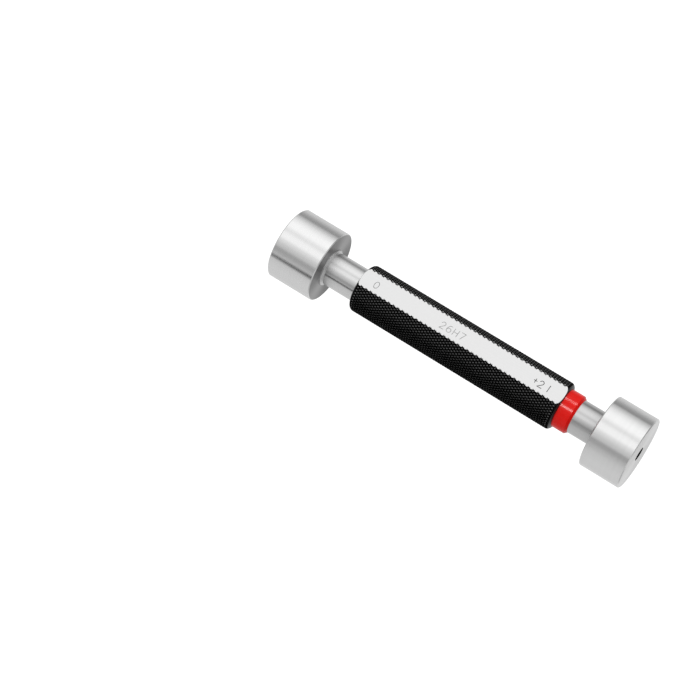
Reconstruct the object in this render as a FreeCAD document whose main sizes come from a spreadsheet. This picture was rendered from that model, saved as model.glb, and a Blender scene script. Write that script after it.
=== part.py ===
# A double-ended limit plug gauge for 26 H7 bores, standing upright on its go end.
# +Z runs along the gauge from the go end to the no-go end; the origin is the centre of the go face.
# The flat that carries the size marks faces -Y. Lengths are in millimetres.
import FreeCAD
import Part
import Sketcher
import math
import os

doc = FreeCAD.newDocument("plug_gauge")

# Driving dimensions

SIZES = [
    ("nominal_size", 26.0, "bore size that the gauge checks, and diameter of the go head"),
    ("upper_deviation", 0.021, "top of the H7 tolerance, by which the no-go head is larger"),
    ("go_head_length", 17.2, "ground length of the go head"),
    ("go_neck_length", 13.15, "from the go head to the handle"),
    ("handle_length", 80.3, "handle from end to end"),
    ("no_go_neck_length", 14.35, "from the handle to the no-go head"),
    ("no_go_head_length", 15.0, "ground length of the no-go head"),
    ("head_edge_break", 0.3, "chamfer on both rims of each head"),
    ("neck_diameter", 12.2, "turned neck between head and handle"),
    ("collar_wall", 0.7, "how far the collar at the root of a neck stands out from the neck"),
    ("collar_height", 0.4, "length of that collar before its 45 degree slope down to the neck"),
    ("centre_hole_diameter", 5.0, "drilled hole in each end face"),
    ("centre_hole_depth", 12.0, "depth of that hole at full diameter"),
    ("drill_point_angle", 118.0, "included angle at the bottom of every drilled hole, in degrees"),
    ("shoulder_width", 1.1, "step from neck to shank that seats on the handle's end face"),
    ("shank_length", 20.0, "part of each member inside the handle"),
    ("shank_chamfer", 0.8, "lead-in at the end of the shank"),
    ("shank_clearance", 0.02, "radial room for the adhesive round the shank"),
    ("bore_end_room", 1.0, "bore left past the end of the shank"),
    ("bore_mouth_chamfer", 0.4, "chamfer at the mouth of each bore in the handle"),
    ("handle_diameter", 17.6, "over the crests of the knurl"),
    ("handle_edge_radius", 1.75, "rounding of the handle's rim at both ends"),
    ("flat_depth", 0.92, "depth of each of the two flats below the crests of the knurl"),
    ("ring_width", 5.5, "length of the red ring on the no-go neck"),
    ("ring_wall", 0.93, "wall of the ring"),
    ("ring_clearance", 0.02, "radial room between ring and neck"),
    ("ring_lip", 0.1, "wall left at the free end of the ring after its chamfer"),
    ("ring_chamfer_length", 0.85, "length along the axis of that chamfer"),
]

sheet = doc.addObject("Spreadsheet::Sheet", "sizes")
for row, (alias, value, note) in enumerate(SIZES, start=1):
    sheet.set(f"A{row}", alias)
    sheet.set(f"B{row}", str(value))
    sheet.set(f"C{row}", note)
    sheet.setAlias(f"B{row}", alias)
doc.recompute()


class Measure:
    """A length with its value now and the sheet formula that sketches are bound to."""

    def __init__(self, value, formula):
        self.value = value
        self.formula = formula

    def __add__(self, other):
        return Measure(self.value + other.value, f"({self.formula} + {other.formula})")

    def __sub__(self, other):
        return Measure(self.value - other.value, f"({self.formula} - {other.formula})")

    def half(self):
        return Measure(self.value / 2, f"({self.formula} / 2)")


def size(alias):
    return Measure(float(sheet.get(alias)), f"sizes.{alias}")


def drill_point(radius):
    """Depth of the cone that a drill of this radius leaves at the bottom of its hole."""
    angle = size("drill_point_angle")
    depth = radius.value / math.tan(math.radians(angle.value / 2))
    return Measure(depth, f"({radius.formula} / tan({angle.formula} * 1 deg / 2))")


# Radii and stations along the axis

AXIS = Measure(0.0, "0")
GO_FACE = AXIS
GO_RADIUS = size("nominal_size").half()
NO_GO_RADIUS = (size("nominal_size") + size("upper_deviation")).half()
NECK_RADIUS = size("neck_diameter").half()
SHANK_RADIUS = NECK_RADIUS - size("shoulder_width")
BORE_RADIUS = SHANK_RADIUS + size("shank_clearance")
HOLE_RADIUS = size("centre_hole_diameter").half()
HANDLE_RADIUS = size("handle_diameter").half()
RING_BORE_RADIUS = NECK_RADIUS + size("ring_clearance")
RING_RADIUS = RING_BORE_RADIUS + size("ring_wall")

HANDLE_START = size("go_head_length") + size("go_neck_length")
HANDLE_END = HANDLE_START + size("handle_length")
NO_GO_FACE = HANDLE_END + size("no_go_neck_length") + size("no_go_head_length")

TOUCH = 0.001


# Sketches and features


def new_body(label):
    body = doc.addObject("PartDesign::Body", label)
    body.Label = label
    return body


def origin_feature(body, role):
    return next(item for item in body.Origin.OriginFeatures if item.Role == role)


def attached_sketch(body, name, plane):
    sketch = body.newObject("Sketcher::SketchObject", name)
    sketch.AttachmentSupport = (origin_feature(body, plane), [""])
    sketch.MapMode = "FlatFace"
    return sketch


def bind_corner(sketch, line, kind, measure):
    """Ties one coordinate of a line's first point to the sheet, or to the sketch's axis if it is zero."""
    if measure is AXIS:
        axis = -2 if kind == "DistanceX" else -1
        sketch.addConstraint(Sketcher.Constraint("PointOnObject", line, 1, axis))
        return
    datum = sketch.addConstraint(Sketcher.Constraint(kind, -1, 1, line, 1, measure.value))
    sketch.setExpression(f"Constraints[{datum}]", measure.formula)


def outline(sketch, corners):
    """A closed outline of straight lines through corners given as pairs of measures."""
    first = sketch.GeometryCount
    points = [FreeCAD.Vector(across.value, along.value, 0) for across, along in corners]
    count = len(points)
    for index in range(count):
        sketch.addGeometry(Part.LineSegment(points[index], points[(index + 1) % count]), False)
    for index in range(count):
        following = first + (index + 1) % count
        sketch.addConstraint(Sketcher.Constraint("Coincident", first + index, 2, following, 1))
    for index, (across, along) in enumerate(corners):
        bind_corner(sketch, first + index, "DistanceX", across)
        bind_corner(sketch, first + index, "DistanceY", along)


def turned(body, kind, name, *outlines):
    """A Revolution or a Groove about Z of outlines whose corners are radius and height."""
    sketch = attached_sketch(body, f"{name}_sketch", "XZ_Plane")
    for corners in outlines:
        outline(sketch, corners)
    doc.recompute()
    feature = body.newObject(f"PartDesign::{kind}", name)
    feature.Profile = sketch
    feature.ReferenceAxis = (origin_feature(body, "Z_Axis"), [""])
    feature.Angle = 360.0
    doc.recompute()
    return feature


def rims(body, *wanted):
    """Names of the body's circular edges that have one of the wanted radii and heights."""
    names = []
    for number, edge in enumerate(body.Shape.Edges, start=1):
        if not isinstance(edge.Curve, Part.Circle):
            continue
        for radius, height in wanted:
            same_radius = abs(edge.Curve.Radius - radius.value) < TOUCH
            same_height = abs(edge.Curve.Center.z - height.value) < TOUCH
            if same_radius and same_height:
                names.append(f"Edge{number}")
    return names


def dress_rims(body, kind, name, measure, *wanted):
    """A Fillet or a Chamfer of the given measure on the wanted rims."""
    base = body.Tip
    edges = rims(body, *wanted)
    assert len(edges) == len(wanted), f"{name}: found {len(edges)} rims of {len(wanted)}"
    feature = body.newObject(f"PartDesign::{kind}", name)
    feature.Base = (base, edges)
    amount = "Radius" if kind == "Fillet" else "Size"
    setattr(feature, amount, measure.value)
    feature.setExpression(amount, measure.formula)
    doc.recompute()
    return feature


# Go and no-go members: head, neck and shank turned from one bar


def member(label, end_face, inwards, head_radius, head_length, neck_length):
    """One gauging member. Stations are distances from its end face towards the handle."""

    def station(distance):
        return end_face + distance if inwards > 0 else end_face - distance

    body = new_body(label)
    collar_wall = size("collar_wall")
    collar_length = head_length + size("collar_height")
    head_end = station(head_length)
    seat = station(head_length + neck_length)
    shank_end = station(head_length + neck_length + size("shank_length"))
    turned(body, "Revolution", f"{label}_blank", [
        (AXIS, end_face),
        (head_radius, end_face),
        (head_radius, head_end),
        (NECK_RADIUS + collar_wall, head_end),
        (NECK_RADIUS + collar_wall, station(collar_length)),
        (NECK_RADIUS, station(collar_length + collar_wall)),
        (NECK_RADIUS, seat),
        (SHANK_RADIUS, seat),
        (SHANK_RADIUS, shank_end),
        (AXIS, shank_end),
    ])
    hole_depth = size("centre_hole_depth")
    turned(body, "Groove", f"{label}_centre_hole", [
        (AXIS, end_face),
        (HOLE_RADIUS, end_face),
        (HOLE_RADIUS, station(hole_depth)),
        (AXIS, station(hole_depth + drill_point(HOLE_RADIUS))),
    ])
    dress_rims(
        body, "Chamfer", f"{label}_edge_breaks", size("head_edge_break"),
        (head_radius, end_face), (head_radius, head_end),
    )
    dress_rims(body, "Chamfer", f"{label}_lead_in", size("shank_chamfer"), (SHANK_RADIUS, shank_end))
    return body


# Handle: a knurled bar, bored at both ends, with two flats for the marks


def handle(label):
    body = new_body(label)
    turned(body, "Revolution", f"{label}_bar", [
        (AXIS, HANDLE_START),
        (HANDLE_RADIUS, HANDLE_START),
        (HANDLE_RADIUS, HANDLE_END),
        (AXIS, HANDLE_END),
    ])
    dress_rims(
        body, "Fillet", f"{label}_rounded_ends", size("handle_edge_radius"),
        (HANDLE_RADIUS, HANDLE_START), (HANDLE_RADIUS, HANDLE_END),
    )

    bore_depth = size("shank_length") + size("bore_end_room")
    bore_bottom = bore_depth + drill_point(BORE_RADIUS)
    turned(
        body, "Groove", f"{label}_bores",
        [
            (AXIS, HANDLE_START),
            (BORE_RADIUS, HANDLE_START),
            (BORE_RADIUS, HANDLE_START + bore_depth),
            (AXIS, HANDLE_START + bore_bottom),
        ],
        [
            (AXIS, HANDLE_END),
            (BORE_RADIUS, HANDLE_END),
            (BORE_RADIUS, HANDLE_END - bore_depth),
            (AXIS, HANDLE_END - bore_bottom),
        ],
    )
    dress_rims(
        body, "Chamfer", f"{label}_bore_mouths", size("bore_mouth_chamfer"),
        (BORE_RADIUS, HANDLE_START), (BORE_RADIUS, HANDLE_END),
    )

    # The flat that faces -Y, then its mirror image
    flat_sketch = attached_sketch(body, f"{label}_flat_sketch", "XY_Plane")
    flat_height = HANDLE_RADIUS - size("flat_depth")
    left = AXIS - HANDLE_RADIUS
    outline(flat_sketch, [
        (left, left),
        (HANDLE_RADIUS, left),
        (HANDLE_RADIUS, AXIS - flat_height),
        (left, AXIS - flat_height),
    ])
    doc.recompute()
    flat = body.newObject("PartDesign::Pocket", f"{label}_marked_flat")
    flat.Profile = flat_sketch
    flat.Type = "Length"
    flat.Length = HANDLE_END.value
    flat.setExpression("Length", HANDLE_END.formula)
    flat.Reversed = True
    doc.recompute()

    both_flats = body.newObject("PartDesign::Mirrored", f"{label}_both_flats")
    both_flats.Originals = [flat]
    both_flats.MirrorPlane = (origin_feature(body, "XZ_Plane"), [""])
    body.Tip = both_flats
    doc.recompute()
    return body


# Red ring that marks the no-go end, pushed along the neck against the handle


def ring(label):
    body = new_body(label)
    free_end = HANDLE_END + size("ring_width")
    turned(body, "Revolution", f"{label}_turned", [
        (RING_BORE_RADIUS, HANDLE_END),
        (RING_RADIUS, HANDLE_END),
        (RING_RADIUS, free_end - size("ring_chamfer_length")),
        (RING_BORE_RADIUS + size("ring_lip"), free_end),
        (RING_BORE_RADIUS, free_end),
    ])
    return body


pieces = [
    member("go_member", GO_FACE, +1, GO_RADIUS, size("go_head_length"), size("go_neck_length")),
    member(
        "no_go_member", NO_GO_FACE, -1, NO_GO_RADIUS,
        size("no_go_head_length"), size("no_go_neck_length"),
    ),
    handle("handle"),
    ring("no_go_ring"),
]
doc.recompute()

# Nothing is written unless every object is sound

for item in doc.Objects:
    faults = [state for state in item.State if state in ("Invalid", "Error")]
    assert not faults, f"{item.Name}: {faults}"
for piece in pieces:
    assert not piece.Shape.isNull() and piece.Shape.isValid(), f"{piece.Label}: bad shape"
    assert len(piece.Shape.Solids) == 1, f"{piece.Label}: {len(piece.Shape.Solids)} solids"

os.makedirs("parts", exist_ok=True)
for piece in pieces:
    piece.Shape.exportStep(f"parts/{piece.Label}.step")
    corner = piece.Shape.BoundBox
    print(f"{piece.Label}: {piece.Shape.Volume:.1f} mm3, z {corner.ZMin:.2f} to {corner.ZMax:.2f}")
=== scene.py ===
"""Looks of the plug gauge: a knurled black handle with two bright flats and engraved size marks,
ground go and no-go members, and a glossy red ring.

Objects are in metres in the part's frame: +Z runs from the go end to the no-go end, and -Y points
out of the marked flat. Named sizes are in millimetres.
"""

import math

import bmesh
import bpy
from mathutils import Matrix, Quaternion, Vector


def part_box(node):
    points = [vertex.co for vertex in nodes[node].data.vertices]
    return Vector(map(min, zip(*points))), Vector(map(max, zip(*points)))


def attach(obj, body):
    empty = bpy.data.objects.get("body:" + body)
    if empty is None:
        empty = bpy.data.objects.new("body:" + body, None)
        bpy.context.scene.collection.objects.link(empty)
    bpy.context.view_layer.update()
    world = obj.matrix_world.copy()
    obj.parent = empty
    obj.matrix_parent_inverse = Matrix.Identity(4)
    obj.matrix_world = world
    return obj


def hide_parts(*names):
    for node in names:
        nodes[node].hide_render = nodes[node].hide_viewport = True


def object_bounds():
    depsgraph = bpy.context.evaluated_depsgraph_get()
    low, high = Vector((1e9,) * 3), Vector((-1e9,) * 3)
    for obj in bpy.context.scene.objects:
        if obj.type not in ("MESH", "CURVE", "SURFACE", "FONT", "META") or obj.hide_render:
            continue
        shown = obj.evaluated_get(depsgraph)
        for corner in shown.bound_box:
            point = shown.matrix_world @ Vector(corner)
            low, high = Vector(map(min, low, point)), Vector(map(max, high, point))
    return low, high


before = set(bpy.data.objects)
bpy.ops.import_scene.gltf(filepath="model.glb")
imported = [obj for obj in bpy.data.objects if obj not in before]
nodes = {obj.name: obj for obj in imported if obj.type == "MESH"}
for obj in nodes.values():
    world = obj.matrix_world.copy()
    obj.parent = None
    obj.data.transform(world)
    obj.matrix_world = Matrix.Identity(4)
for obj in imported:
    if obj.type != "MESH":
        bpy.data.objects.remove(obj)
cad_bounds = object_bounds()

MM = 0.001

# Driving sizes, from the frame where it holds them

HANDLE_LOW, HANDLE_HIGH = (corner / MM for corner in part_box("handle"))
HANDLE_START = HANDLE_LOW.z
HANDLE_END = HANDLE_HIGH.z
HANDLE_MIDDLE = (HANDLE_START + HANDLE_END) / 2
HANDLE_RADIUS = HANDLE_HIGH.x
FLAT_HEIGHT = HANDLE_HIGH.y
HANDLE_EDGE_RADIUS = 1.75
GO_HEAD_LENGTH = 17.2
NO_GO_HEAD_LENGTH = 15.0
NECK_DIAMETER = 12.2
COLLAR_REACH = 0.6

SHANK_LENGTH = 20.0
BORE_RADIUS = 5.02
BORE_END_ROOM = 1.0
BORE_MOUTH_CHAMFER = 0.4
DRILL_POINT_ANGLE = math.radians(118)

# Diamond knurl: grooves at 30 degrees to the axis, both ways round

KNURL_STARTS = 52
KNURL_ANGLE = math.radians(30)
KNURL_DEPTH = 0.30
KNURL_SECTION = (0.0, 0.45, 0.88, 1.0)
STEPS_PER_GROOVE = 6
ROUND_STEPS = 9

# Knurl rubbed bare together with painted light, from 0 where it is black to 1 where it is bare, in pairs
# for the -X and +X side

# Painted glints on the crests beside the flats, brighter on the -X side
GLINTS_BESIDE_FLATS = (0.85, 0.56)
# Crests rubbed bare, with painted shade: darker away from the flats and on the +X side
MOST_WEAR_AND_LIGHT = (0.53, 0.475)
LEAST_WEAR_AND_LIGHT = 0.02
# Painted glints on the crests at the rims
GLINTING_RIM = 0.6
GLINT_WIDTH = 0.12
RIM_DROP = 0.02
CREST_FROM = 0.8
# Where the painted shade away from the flats starts, and over what spread
WEAR_AND_LIGHT_FROM = 0.40
WEAR_AND_LIGHT_SPREAD = 0.3
GROOVE_SHARE = 0.3

# Size marks on the -Y flat: width of each mark's strokes, and their section

ZERO_STROKE = 0.22
FIT_STROKE = 0.175
DEVIATION_STROKE = 0.28
STROKE_DEPTH = 0.06
STROKE_SIDES = 8
STROKE_END_REACH = 0.45
STROKE_END_WIDTH = 0.55
SHARPEST_CORNER = 0.4
OVAL_SIDES = 20

# Places of the characters along the gauge from the handle's middle, and their size and base line

ZERO_PLACE = -33.95
FIT_PLACE = -7.2
FIT_PITCH = 2.53
DEVIATION_PLACES = (29.08, 31.3, 34.22)
CHARACTER_HEIGHT = 2.62
CHARACTER_WIDTH = 1.6
BASE_LINE = 1.72

# Camera of the photograph: place, aim, and roll about the line of sight

CAMERA_PLACE = Vector((275.04, -593.87, 217.25))
CAMERA_AIM = Vector((18.88, 8.03, 38.46))
CAMERA_ROLL = math.radians(121.63)
CAMERA_LENS = 102.86
SENSOR_WIDTH = 36.0
CLIP_START = 10.0
CLIP_END = 200000.0

# Tolerances that tell a member's surfaces apart: distance, normal's height and share of a radius

SAME_LEVEL = 0.05
FLAT_NORMAL = 0.9
BEVEL_NORMAL = 0.3
NEARLY = 0.9
JUST_OVER = 1.01


# Materials


class Nodes:
    """Short ways to add nodes to a tree."""

    def __init__(self, tree):
        self.tree = tree

    def node(self, kind, **settings):
        made = self.tree.nodes.new(kind)
        for key, value in settings.items():
            setattr(made, key, value)
        return made

    def link(self, source, target):
        self.tree.links.new(source, target)

    def remap(self, value, from_low, from_high, low=0.0, high=1.0):
        """A value moved from one range to another."""
        moved = self.node("ShaderNodeMapRange")
        moved.inputs["From Min"].default_value = from_low
        moved.inputs["From Max"].default_value = from_high
        moved.inputs["To Min"].default_value = low
        moved.inputs["To Max"].default_value = high
        self.link(value, moved.inputs["Value"])
        return moved.outputs["Result"]

    def colours(self, value, stops):
        """A colour ramp through (position, grey or colour) stops."""
        ramp = self.node("ShaderNodeValToRGB")
        elements = ramp.color_ramp.elements
        while len(elements) < len(stops):
            elements.new(0.5)
        for element, (position, colour) in zip(elements, stops):
            element.position = position
            red, green, blue = (colour,) * 3 if isinstance(colour, float) else colour
            element.color = (red, green, blue, 1.0)
        self.link(value, ramp.inputs["Fac"])
        return ramp.outputs["Color"]


class Shader(Nodes):
    """A node material with its Principled shader."""

    def __init__(self, name):
        self.material = bpy.data.materials.new(name)
        self.material.use_nodes = True
        super().__init__(self.material.node_tree)
        self.tree.nodes.clear()
        self.surface = self.node("ShaderNodeBsdfPrincipled")
        output = self.node("ShaderNodeOutputMaterial")
        self.link(self.surface.outputs["BSDF"], output.inputs["Surface"])

    def set(self, **values):
        """Fixed values of the shader's sockets, with _ for a space in their names."""
        for key, value in values.items():
            self.surface.inputs[key.replace("_", " ")].default_value = value

    def noise(self, scale):
        """Fine noise over the object, with a scale for each axis."""
        coordinates = self.node("ShaderNodeTexCoord")
        mapping = self.node("ShaderNodeMapping")
        mapping.inputs["Scale"].default_value = scale
        self.link(coordinates.outputs["Object"], mapping.inputs["Vector"])
        noise = self.node("ShaderNodeTexNoise")
        noise.inputs["Scale"].default_value = 1.0
        noise.inputs["Detail"].default_value = 3.0
        noise.inputs["Roughness"].default_value = 0.6
        self.link(mapping.outputs["Vector"], noise.inputs["Vector"])
        return noise.outputs["Fac"]

    def paint(self, value, *stops):
        """Base colour from a ramp over a value."""
        self.link(self.colours(value, stops), self.surface.inputs["Base Color"])

    def roughen(self, value, low, high, from_low=0.3, from_high=0.7):
        """Roughness that follows a value."""
        roughness = self.remap(value, from_low, from_high, low, high)
        self.link(roughness, self.surface.inputs["Roughness"])

    def bump(self, height, distance):
        bump = self.node("ShaderNodeBump")
        bump.inputs["Distance"].default_value = distance
        bump.inputs["Strength"].default_value = 1.0
        self.link(height, bump.inputs["Height"])
        self.link(bump.outputs["Normal"], self.surface.inputs["Normal"])

    def around_axis(self, anisotropy):
        """Grinding marks that run round the gauge's axis, so highlights stretch along it."""
        tangent = self.node("ShaderNodeTangent", direction_type="RADIAL", axis="Z")
        self.link(tangent.outputs["Tangent"], self.surface.inputs["Tangent"])
        self.set(Anisotropic=anisotropy, Anisotropic_Rotation=0.25)


def steel(name, tone, roughness, anisotropy, grain=(30.0, 30.0, 1500.0)):
    """Ground or turned steel: fine marks round the axis, a little uneven in tone and gloss."""
    shader = Shader(name)
    shader.set(Metallic=1.0)
    shader.around_axis(anisotropy)
    marks = shader.noise(grain)
    shader.paint(marks, (0.3, tone * 0.98), (0.7, tone * 1.02))
    shader.roughen(marks, roughness * 0.97, roughness * 1.03)
    return shader.material


def drilled_hole():
    shader = Shader("drilled_hole")
    shader.set(Metallic=1.0, Roughness=0.7)
    marks = shader.noise((60.0, 60.0, 4000.0))
    # Nearly black steel: painted shade in the hole
    shader.paint(marks, (0.3, 0.010), (0.7, 0.025))
    return shader.material


def red_ring():
    shader = Shader("glossy_red_ring")
    shader.set(Roughness=0.18, IOR=1.5, Specular_IOR_Level=0.10)
    blotches = shader.noise((260.0, 260.0, 260.0))
    shader.paint(blotches, (0.3, (0.73, 0.009, 0.006)), (0.7, (0.80, 0.014, 0.010)))
    shader.bump(blotches, 0.000002)
    return shader.material


def black_knurl():
    """Black finish, bare and brighter where the knurl is rubbed, with painted glints and painted shade
    in the same value.
    """
    shader = Shader("black_knurl")
    shader.set(IOR=1.5, Specular_IOR_Level=0.001)
    wear_and_light = shader.node("ShaderNodeAttribute", attribute_name="wear_and_light").outputs["Fac"]
    shader.paint(wear_and_light, (0.0, 0.0006), (0.36, 0.004), (0.44, 0.010), (0.5, 0.065), (1.0, 0.60))
    shader.roughen(wear_and_light, 0.62, 0.34, 0.0, 1.0)
    grain = shader.noise((5000.0, 5000.0, 5000.0))
    shader.bump(grain, 0.00001)
    return shader.material


def black_rim():
    shader = Shader("black_rim")
    shader.set(IOR=1.5, Specular_IOR_Level=0.5)
    grain = shader.noise((900.0, 900.0, 3000.0))
    shader.paint(grain, (0.3, 0.004), (0.7, 0.008))
    shader.roughen(grain, 0.30, 0.40)
    return shader.material


def bright_flat():
    shader = Shader("bright_milled_flat")
    shader.set(Metallic=1.0)
    strokes = shader.noise((9000.0, 9000.0, 40.0))
    shader.paint(strokes, (0.3, 0.62), (0.7, 0.67))
    shader.roughen(strokes, 0.40, 0.48)
    shader.bump(strokes, 0.000002)
    return shader.material


def mark(name, dark, light):
    shader = Shader(name)
    shader.set(Metallic=0.5, Roughness=0.6)
    grain = shader.noise((4000.0, 4000.0, 4000.0))
    shader.paint(grain, (0.3, dark), (0.7, light))
    return shader.material


HANDLE_MATERIALS = [
    black_knurl(),
    bright_flat(),
    mark("faint_mark", 0.21, 0.30),
    mark("dark_mark", 0.02, 0.05),
    black_rim(),
]
KNURL_SLOT, FLAT_SLOT, FAINT_SLOT, DARK_SLOT, RIM_SLOT = range(5)


# Handle


def knurl_height(turn, place):
    """0 in a groove and 1 on a crest, at steps round the handle and along it."""
    height = 1.0
    for count in (turn + place, turn - place):
        into = count % STEPS_PER_GROOVE
        height = min(height, KNURL_SECTION[min(into, STEPS_PER_GROOVE - into)])
    return height


def rounded_radius(z):
    """Radius of the handle's envelope, whose rims are rounded."""
    into = max(HANDLE_START + HANDLE_EDGE_RADIUS - z, z - HANDLE_END + HANDLE_EDGE_RADIUS, 0.0)
    drop = HANDLE_EDGE_RADIUS - math.sqrt(max(HANDLE_EDGE_RADIUS ** 2 - into ** 2, 0.0))
    return HANDLE_RADIUS - drop


def worn_and_lit(height, radius, direction):
    """How bright a point of the knurl is: crests rubbed bare, with painted glints beside the flats and
    at the rims, and painted shade away from the flats and on the +X side.
    """
    across, towards_flat = direction
    side = 0 if across < 0 else 1
    # Painted glints on the crests beside the flats, brighter on the -X side.
    if height > CREST_FROM and abs(radius * abs(towards_flat) - FLAT_HEIGHT) < GLINT_WIDTH:
        return GLINTS_BESIDE_FLATS[side]
    # Painted glints on the crests at the rims.
    if height > CREST_FROM and radius < HANDLE_RADIUS - RIM_DROP:
        return GLINTING_RIM
    # Painted shade: darker away from the flats, and darker on the +X side.
    nearness = min(max((abs(towards_flat) - WEAR_AND_LIGHT_FROM) / WEAR_AND_LIGHT_SPREAD, 0.0), 1.0)
    wear_and_light = LEAST_WEAR_AND_LIGHT + (MOST_WEAR_AND_LIGHT[side] - LEAST_WEAR_AND_LIGHT) * nearness
    return wear_and_light * (GROOVE_SHARE + (1 - GROOVE_SHARE) * height ** 2)


def knurl_rows():
    """(height along the gauge, knurl step or None) of each ring of points on the handle's outside."""
    groove_pitch = 2 * math.pi * HANDLE_RADIUS / KNURL_STARTS / math.tan(KNURL_ANGLE)
    step = groove_pitch / STEPS_PER_GROOVE
    smooth_from = math.asin(min(math.sqrt(2 * KNURL_DEPTH / HANDLE_EDGE_RADIUS), 1.0))
    knurled = HANDLE_END - HANDLE_MIDDLE - HANDLE_EDGE_RADIUS * (1 - math.sin(smooth_from))
    count = int(knurled / step)
    rows = [(HANDLE_MIDDLE + place * step, place) for place in range(-count, count + 1)]
    for index in range(1, ROUND_STEPS + 1):
        angle = smooth_from + (math.pi / 2 - smooth_from) * index / ROUND_STEPS
        offset = HANDLE_END - HANDLE_MIDDLE - HANDLE_EDGE_RADIUS * (1 - math.sin(angle))
        rows.append((HANDLE_MIDDLE + offset, None))
        rows.insert(0, (HANDLE_MIDDLE - offset, None))
    return rows


def knurled_bar():
    """The knurled bar with both bores, as one closed mesh, before its flats are cut."""
    mesh = bmesh.new()
    # Rubbing of the knurl together with painted glints and shade, for each point
    wear_and_light = mesh.verts.layers.float.new("wear_and_light")
    columns = KNURL_STARTS * STEPS_PER_GROOVE
    directions = [
        (math.cos(2 * math.pi * turn / columns), math.sin(2 * math.pi * turn / columns))
        for turn in range(columns)
    ]

    def ring(z, radius_at, wear_and_light_at=lambda turn: 0.0):
        made = []
        for turn, (cos, sin) in enumerate(directions):
            radius = radius_at(turn) * MM
            made.append(mesh.verts.new((cos * radius, sin * radius, z * MM)))
            made[-1][wear_and_light] = wear_and_light_at(turn)
        return made

    def skin(lower, upper, smooth):
        for turn in range(columns):
            after = (turn + 1) % columns
            face = mesh.faces.new((lower[turn], lower[after], upper[after], upper[turn]))
            face.smooth = smooth
            face.material_index = RIM_SLOT if smooth else KNURL_SLOT

    def bore(end, inwards):
        """Rings of one bore from its mouth to its drill point, and the point itself."""
        depth = SHANK_LENGTH + BORE_END_ROOM
        point = depth + BORE_RADIUS / math.tan(DRILL_POINT_ANGLE / 2)
        rings = [
            ring(end, lambda turn: BORE_RADIUS + BORE_MOUTH_CHAMFER),
            ring(end + inwards * BORE_MOUTH_CHAMFER, lambda turn: BORE_RADIUS),
            ring(end + inwards * depth, lambda turn: BORE_RADIUS),
        ]
        return rings, mesh.verts.new((0.0, 0.0, (end + inwards * point) * MM))

    def outside_ring(z, place):
        """One ring of the handle's outside, knurled unless its place is None."""
        envelope = rounded_radius(z)

        def radius_at(turn):
            if place is None:
                return envelope
            return min(HANDLE_RADIUS - KNURL_DEPTH * (1 - knurl_height(turn, place)), envelope)

        def wear_and_light_at(turn):
            if place is None:
                return 0.0
            return worn_and_lit(knurl_height(turn, place), radius_at(turn), directions[turn])

        return ring(z, radius_at, wear_and_light_at)

    low_rings, low_point = bore(HANDLE_START, +1)
    high_rings, high_point = bore(HANDLE_END, -1)
    rows = knurl_rows()
    outside = [outside_ring(z, place) for z, place in rows]
    for lower, upper, row, following in zip(outside, outside[1:], rows, rows[1:]):
        skin(lower, upper, row[1] is None and following[1] is None)
    for rings in (low_rings[::-1] + outside[:1], outside[-1:] + high_rings):
        for lower, upper in zip(rings, rings[1:]):
            skin(lower, upper, False)
    for turn in range(columns):
        after = (turn + 1) % columns
        mesh.faces.new((low_rings[-1][after], low_rings[-1][turn], low_point))
        mesh.faces.new((high_rings[-1][turn], high_rings[-1][after], high_point))
    return mesh


def new_object(name, mesh):
    """An object in the scene from a finished bmesh, with the handle's materials."""
    bmesh.ops.recalc_face_normals(mesh, faces=mesh.faces[:])
    data = bpy.data.meshes.new(name)
    mesh.to_mesh(data)
    mesh.free()
    for material in HANDLE_MATERIALS:
        data.materials.append(material)
    made = bpy.data.objects.new(name, data)
    bpy.context.scene.collection.objects.link(made)
    return made


def flats_cutter():
    """Two blocks whose inner sides are the handle's flats."""
    mesh = bmesh.new()
    for side in (-1, 1):
        block = bmesh.ops.create_cube(mesh, size=1.0)["verts"]
        for vert in block:
            vert.co.x *= 4 * HANDLE_RADIUS * MM
            vert.co.y = side * (FLAT_HEIGHT + (0.5 + side * vert.co.y) * HANDLE_RADIUS) * MM
            vert.co.z = (HANDLE_MIDDLE + vert.co.z * 2 * (HANDLE_END - HANDLE_START)) * MM
    for face in mesh.faces:
        face.material_index = FLAT_SLOT
    return new_object("flats_cutter", mesh)


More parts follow.
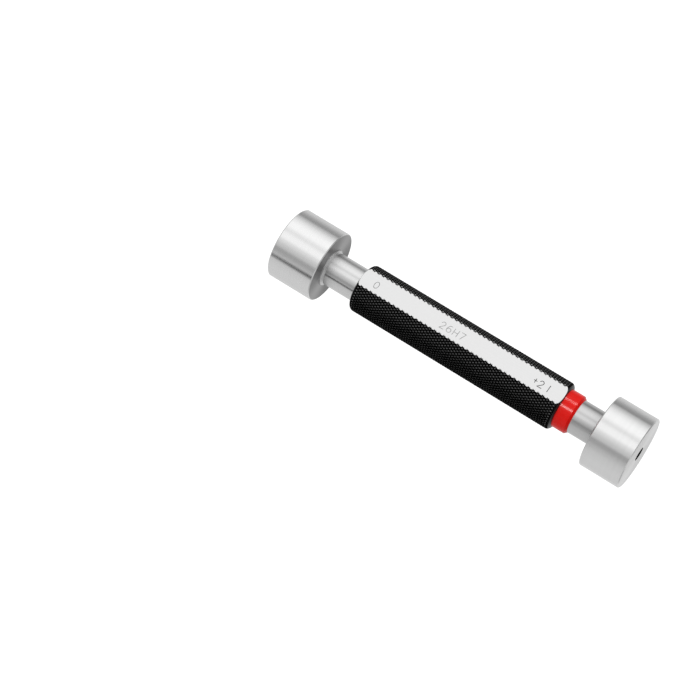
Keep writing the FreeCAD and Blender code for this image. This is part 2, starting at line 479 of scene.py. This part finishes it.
def stroke_cutter(points, closed, width, slot):
    """A round bar along a line of (place along the gauge, place across it), half sunk in the flat."""
    half = width / 2
    radius = (half ** 2 + STROKE_DEPTH ** 2) / (2 * STROKE_DEPTH)
    level = FLAT_HEIGHT + radius - STROKE_DEPTH
    mesh = bmesh.new()
    line = [Vector(point) for point in points]
    count = len(line)

    def ring(centre, across, share):
        made = []
        for corner in range(STROKE_SIDES):
            angle = 2 * math.pi * (corner + 0.5) / STROKE_SIDES
            place = centre + across * (radius * share * math.cos(angle))
            y = -(level + radius * share * math.sin(angle))
            made.append(mesh.verts.new((place.y * MM, y * MM, place.x * MM)))
        return made

    rings = []
    for index, point in enumerate(line):
        before = line[index - 1] if closed or index > 0 else None
        after = line[(index + 1) % count] if closed or index < count - 1 else None
        arriving = (point - before).normalized() if before else (after - point).normalized()
        leaving = (after - point).normalized() if after else arriving
        along = (arriving + leaving).normalized()
        across = Vector((-along.y, along.x)) / max(along.dot(arriving), SHARPEST_CORNER)
        end = along * (STROKE_END_REACH * radius)
        rings.append(ring(point, across, 1.0))
        if before is None:
            rings.insert(0, ring(point - end, across, STROKE_END_WIDTH))
        if after is None:
            rings.append(ring(point + end, across, STROKE_END_WIDTH))
    joined = list(zip(rings, rings[1:]))
    if closed:
        joined.append((rings[-1], rings[0]))
    else:
        mesh.faces.new(rings[0][::-1])
        mesh.faces.new(rings[-1])
    for first, second in joined:
        for corner in range(STROKE_SIDES):
            following = (corner + 1) % STROKE_SIDES
            mesh.faces.new((first[corner], first[following], second[following], second[corner]))
    for face in mesh.faces:
        face.material_index = slot
    return new_object("stroke_cutter", mesh)


def oval(low, high):
    """Points of an oval between two corners of the character's cell."""
    middle = (low[0] + high[0]) / 2, (low[1] + high[1]) / 2
    half = (high[0] - low[0]) / 2, (high[1] - low[1]) / 2
    angles = [2 * math.pi * turn / OVAL_SIDES for turn in range(OVAL_SIDES)]
    return [(middle[0] + half[0] * math.sin(a), middle[1] + half[1] * math.cos(a)) for a in angles]


# Characters as strokes in a cell 1 wide and 1 high, each with whether it closes on itself

CHARACTERS = {
    "0": [(oval((0.0, 0.0), (1.0, 1.0)), True)],
    "1": [([(0.5, 0.0), (0.5, 1.0)], False)],
    "2": [
        (
            [
                (0.04, 0.76),
                (0.14, 0.90),
                (0.34, 0.99),
                (0.62, 0.99),
                (0.84, 0.90),
                (0.93, 0.75),
                (0.88, 0.60),
                (0.70, 0.45),
                (0.30, 0.22),
                (0.0, 0.0),
                (1.0, 0.0),
            ],
            False,
        )
    ],
    "6": [
        (oval((0.0, 0.0), (1.0, 0.60)), True),
        ([(0.86, 0.95), (0.60, 1.0), (0.32, 0.90), (0.10, 0.68), (0.0, 0.42), (0.0, 0.30)], False),
    ],
    "7": [([(0.0, 1.0), (1.0, 1.0), (0.34, 0.0)], False)],
    "H": [
        ([(0.0, 0.0), (0.0, 1.0)], False),
        ([(1.0, 0.0), (1.0, 1.0)], False),
        ([(0.0, 0.5), (1.0, 0.5)], False),
    ],
    "+": [([(0.12, 0.57), (0.88, 0.57)], False), ([(0.5, 0.25), (0.5, 0.87)], False)],
}


def size_marks():
    """(character, place from the handle's middle, stroke width, material slot) of each character."""
    marks = [("0", ZERO_PLACE, ZERO_STROKE, FAINT_SLOT)]
    for index, character in enumerate("26H7"):
        marks.append((character, FIT_PLACE + FIT_PITCH * index, FIT_STROKE, FAINT_SLOT))
    for character, place in zip("+21", DEVIATION_PLACES):
        marks.append((character, place, DEVIATION_STROKE, DARK_SLOT))
    return marks


def mark_cutters():
    cutters = []
    for character, place, width, slot in size_marks():
        start = HANDLE_MIDDLE + place - CHARACTER_WIDTH / 2
        for points, closed in CHARACTERS[character]:
            placed = [
                (start + right * CHARACTER_WIDTH, BASE_LINE - top * CHARACTER_HEIGHT)
                for right, top in points
            ]
            cutters.append(stroke_cutter(placed, closed, width, slot))
    return cutters


def build_handle():
    """Knurled bar, less the two flats and the engraved strokes, as one mesh."""
    bar = new_object("knurled_bar", knurled_bar())
    cutters = [flats_cutter()] + mark_cutters()
    for cutter in cutters:
        cut = bar.modifiers.new("cut", "BOOLEAN")
        cut.operation = "DIFFERENCE"
        cut.solver = "MANIFOLD"
        cut.material_mode = "INDEX"
        cut.object = cutter
    depsgraph = bpy.context.evaluated_depsgraph_get()
    data = bpy.data.meshes.new_from_object(bar.evaluated_get(depsgraph), depsgraph=depsgraph)
    data.name = "knurled_handle"
    for helper in [bar] + cutters:
        bpy.data.objects.remove(helper)
    handle = bpy.data.objects.new("knurled_handle", data)
    bpy.context.scene.collection.objects.link(handle)
    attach(handle, "root")
    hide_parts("handle")


build_handle()


# Carried-over solids get their finish


def finish_member(name, end_face, inner_face, head_tone, head_roughness, neck_tone):
    """Gives each surface of a member its own finish, told apart by place and direction."""
    finishes = [
        steel("ground_head", head_tone, head_roughness, 0.95),
        steel("lapped_end_face", 0.76, 0.30, 0.50, (900.0, 900.0, 60.0)),
        steel("turned_neck", neck_tone, 0.28, 0.93),
        steel("turned_inner_face", 0.31, 0.34, 0.93, (1500.0, 1500.0, 60.0)),
        steel("turned_collar", 0.66, 0.45, 0.20),
        drilled_hole(),
    ]
    ground, end, neck, inner, collar, hole = range(6)
    head_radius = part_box(name)[1].x
    neck_radius = NECK_DIAMETER / 2 * MM
    data = nodes[name].data
    data.materials.clear()
    for finish in finishes:
        data.materials.append(finish)
    for polygon in data.polygons:
        middle = polygon.center
        out = math.hypot(middle.x, middle.y)
        flat = abs(polygon.normal.z) > FLAT_NORMAL
        if flat and abs(middle.z - end_face) < SAME_LEVEL * MM:
            polygon.material_index = end
        elif flat and abs(middle.z - inner_face) < SAME_LEVEL * MM:
            polygon.material_index = inner
        elif out > NEARLY * head_radius:
            bevelled = abs(polygon.normal.z) > BEVEL_NORMAL
            polygon.material_index = end if bevelled else ground
        elif out > JUST_OVER * neck_radius and abs(middle.z - inner_face) < COLLAR_REACH * MM:
            polygon.material_index = collar
        elif out > NEARLY * neck_radius:
            polygon.material_index = neck
        else:
            polygon.material_index = hole


def finish_ring(name):
    data = nodes[name].data
    data.materials.clear()
    data.materials.append(red_ring())


LOWEST, HIGHEST = cad_bounds
finish_member(
    "go_member",
    end_face=LOWEST.z,
    inner_face=LOWEST.z + GO_HEAD_LENGTH * MM,
    head_tone=0.67,
    head_roughness=0.27,
    neck_tone=0.60,
)
finish_member(
    "no_go_member",
    end_face=HIGHEST.z,
    inner_face=HIGHEST.z - NO_GO_HEAD_LENGTH * MM,
    head_tone=0.64,
    head_roughness=0.24,
    neck_tone=0.50,
)
finish_ring("no_go_ring")


# Studio: pale floor, and soft light from panels that stand all round the gauge

PALE = 0.95
FLOOR_SIZE = 60000.0

# Brightness of each panel by degrees from the camera, and its share by sine of the elevation

BRIGHT_PANEL = [
    (-180, 0.0),
    (-101, 0.0),
    (-92, 0.78),
    (-76, 1.26),
    (-60, 1.50),
    (-44, 1.52),
    (-34, 1.28),
    (-29, 1.18),
    (-24, 1.30),
    (-18, 1.44),
    (-4, 1.46),
    (3, 1.18),
    (12, 1.03),
    (26, 0.62),
    (32, 0.20),
    (42, 0.0),
    (180, 0.0),
]
BRIGHT_REACH = [(-1.0, 0.6), (-0.7, 0.8), (-0.4, 1.0), (0.5, 1.0), (0.8, 0.4), (1.0, 0.4)]
DIM_SURROUND = [
    (-180, 0.80),
    (-135, 0.80),
    (-121, 0.60),
    (-112, 0.46),
    (-104, 0.42),
    (-96, 0.20),
    (-90, 0.0),
    (16, 0.0),
    (28, 0.24),
    (34, 0.36),
    (46, 0.62),
    (54, 0.74),
    (70, 0.84),
    (100, 0.90),
    (142, 0.84),
    (180, 0.80),
]
DIM_REACH = [(-1.0, 0.6), (-0.8, 0.6), (-0.5, 1.0), (0.35, 1.0), (0.6, 0.5), (0.8, 0.6), (0.9, 0.9)]

# Strip lamps that the ring mirrors: direction from the camera and width in degrees, brightness

STRIP_LAMPS = [(-54.0, 14.0, 20.0), (-8.5, 10.0, 50.0)]
LAMP_DISTANCE = 300.0
LAMP_LENGTH = 40.0

# Dark card low beside the go end: direction and width in degrees, and its glow from side to side

CARD_DIRECTION = 58.0
CARD_WIDTH = 15.0
CARD_DISTANCE = 120.0
CARD_HEIGHT = 125.0
CARD_MIDDLE = 10.0
CARD_GLOW = [(0.0, 0.7), (0.22, 0.3), (0.38, 0.0), (0.62, 0.0), (0.78, 0.3), (1.0, 0.7)]


def round_gauge(degrees, distance, height):
    """A place in metres at an angle from the camera's direction round the gauge."""
    towards_camera = CAMERA_PLACE - CAMERA_AIM
    angle = math.atan2(towards_camera.y, towards_camera.x) + math.radians(degrees)
    return Vector((math.cos(angle) * distance, math.sin(angle) * distance, height)) * MM


def width_across(degrees, distance):
    """Width in metres of what spans an angle at a distance."""
    return 2 * distance * MM * math.tan(math.radians(degrees / 2))


def build_lamps():
    """Strip lamps at the height where the ring mirrors them towards the camera, for the ring alone."""
    lit = bpy.data.collections.new("lit_by_strips")
    lit.objects.link(nodes["no_go_ring"])
    low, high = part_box("no_go_ring")
    middle = (low.z + high.z) / 2 / MM
    fall = (CAMERA_PLACE.z - middle) / CAMERA_PLACE.xy.length
    for index, (degrees, width, brightness) in enumerate(STRIP_LAMPS):
        data = bpy.data.lights.new(f"strip_lamp_{index}", "AREA")
        data.shape = "RECTANGLE"
        data.size = width_across(width, LAMP_DISTANCE)
        data.size_y = LAMP_LENGTH * MM
        data.energy = brightness * math.pi * data.size * data.size_y
        lamp = bpy.data.objects.new(data.name, data)
        bpy.context.scene.collection.objects.link(lamp)
        lamp.location = round_gauge(degrees, LAMP_DISTANCE, middle - fall * LAMP_DISTANCE)
        aim = Vector((0.0, 0.0, middle * MM)) - lamp.location
        lamp.rotation_euler = aim.to_track_quat("-Z", "Y").to_euler()
        lamp.visible_camera = False
        lamp.visible_diffuse = False
        lamp.light_linking.receiver_collection = lit


def build_card():
    """The dark card, which the steel mirrors as a thin dark line."""
    bpy.ops.mesh.primitive_plane_add(size=1.0)
    card = bpy.context.object
    card.name = "dark_card"
    card.scale = (width_across(CARD_WIDTH, CARD_DISTANCE), CARD_HEIGHT * MM, 1.0)
    card.location = round_gauge(CARD_DIRECTION, CARD_DISTANCE, CARD_MIDDLE)
    aim = Vector((0.0, 0.0, card.location.z)) - card.location
    card.rotation_euler = aim.to_track_quat("Z", "Y").to_euler()
    shader = Shader("dark_card")
    across = shader.node("ShaderNodeSeparateXYZ")
    shader.link(shader.node("ShaderNodeTexCoord").outputs["Generated"], across.inputs["Vector"])
    glow = shader.colours(across.outputs["X"], CARD_GLOW)
    shader.link(glow, shader.surface.inputs["Emission Color"])
    shader.set(Base_Color=(0.01, 0.01, 0.01, 1.0), Roughness=1.0, Emission_Strength=1.0)
    card.data.materials.append(shader.material)
    card.visible_camera = False
    card.visible_diffuse = False
    card.visible_shadow = False


def build_floor():
    bpy.ops.mesh.primitive_plane_add(size=FLOOR_SIZE * MM)
    floor = bpy.context.object
    floor.name = "floor"
    shader = Shader("pale_floor")
    grain = shader.noise((40.0, 40.0, 40.0))
    shader.paint(grain, (0.3, 0.30), (0.7, 0.31))
    shader.set(Roughness=0.9, Emission_Color=(1.0, 1.0, 1.0, 1.0), Emission_Strength=PALE)
    floor.data.materials.append(shader.material)
    floor.visible_glossy = False
    floor.visible_diffuse = False


def build_world():
    """Soft light that changes with the direction round the gauge and with the elevation."""
    world = bpy.data.worlds.new("studio")
    bpy.context.scene.world = world
    world.use_nodes = True
    sky = Nodes(world.node_tree)
    lit = sky.tree.nodes["Background"]

    def levels(value, low, high, panel):
        """A panel's levels, as a ramp over a range of values."""
        stops = [((place - low) / (high - low), level) for place, level in panel]
        return sky.colours(sky.remap(value, low, high), stops)

    def combined(operation, first, second):
        made = sky.node("ShaderNodeVectorMath", operation=operation)
        sky.link(first, made.inputs[0])
        sky.link(second, made.inputs[1])
        return made.outputs["Vector"]

    towards_camera = CAMERA_PLACE - CAMERA_AIM
    turned = sky.node("ShaderNodeVectorRotate", rotation_type="Z_AXIS")
    turned.inputs["Angle"].default_value = -math.atan2(towards_camera.y, towards_camera.x)
    sky.link(sky.node("ShaderNodeTexCoord").outputs["Generated"], turned.inputs["Vector"])
    parts = sky.node("ShaderNodeSeparateXYZ")
    sky.link(turned.outputs["Vector"], parts.inputs["Vector"])
    radians = sky.node("ShaderNodeMath", operation="ARCTAN2")
    sky.link(parts.outputs["Y"], radians.inputs[0])
    sky.link(parts.outputs["X"], radians.inputs[1])
    degrees = sky.node("ShaderNodeMath", operation="DEGREES")
    sky.link(radians.outputs["Value"], degrees.inputs[0])

    panels = []
    for directions, reach in ((BRIGHT_PANEL, BRIGHT_REACH), (DIM_SURROUND, DIM_REACH)):
        across = levels(degrees.outputs["Value"], -180.0, 180.0, directions)
        upwards = levels(parts.outputs["Z"], -1.0, 1.0, reach)
        panels.append(combined("MULTIPLY", across, upwards))
    sky.link(combined("ADD", *panels), lit.inputs["Color"])

    pale = sky.node("ShaderNodeBackground")
    pale.inputs["Color"].default_value = (PALE, PALE, PALE, 1.0)
    seen = sky.node("ShaderNodeMixShader")
    sky.link(sky.node("ShaderNodeLightPath").outputs["Is Camera Ray"], seen.inputs["Fac"])
    sky.link(lit.outputs["Background"], seen.inputs[1])
    sky.link(pale.outputs["Background"], seen.inputs[2])
    sky.link(seen.outputs["Shader"], sky.tree.nodes["World Output"].inputs["Surface"])


def build_camera():
    data = bpy.data.cameras.new("photo_camera")
    data.lens = CAMERA_LENS
    data.sensor_width = SENSOR_WIDTH
    data.clip_start = CLIP_START * MM
    data.clip_end = CLIP_END * MM
    camera = bpy.data.objects.new("photo_camera", data)
    bpy.context.scene.collection.objects.link(camera)
    look = (CAMERA_AIM - CAMERA_PLACE).to_track_quat("-Z", "Y")
    camera.rotation_mode = "QUATERNION"
    camera.rotation_quaternion = look @ Quaternion((0.0, 0.0, 1.0), CAMERA_ROLL)
    camera.location = CAMERA_PLACE * MM
    bpy.context.scene.camera = camera


build_floor()
build_lamps()
build_card()
build_world()
build_camera()
bpy.context.scene.view_settings.view_transform = "Standard"
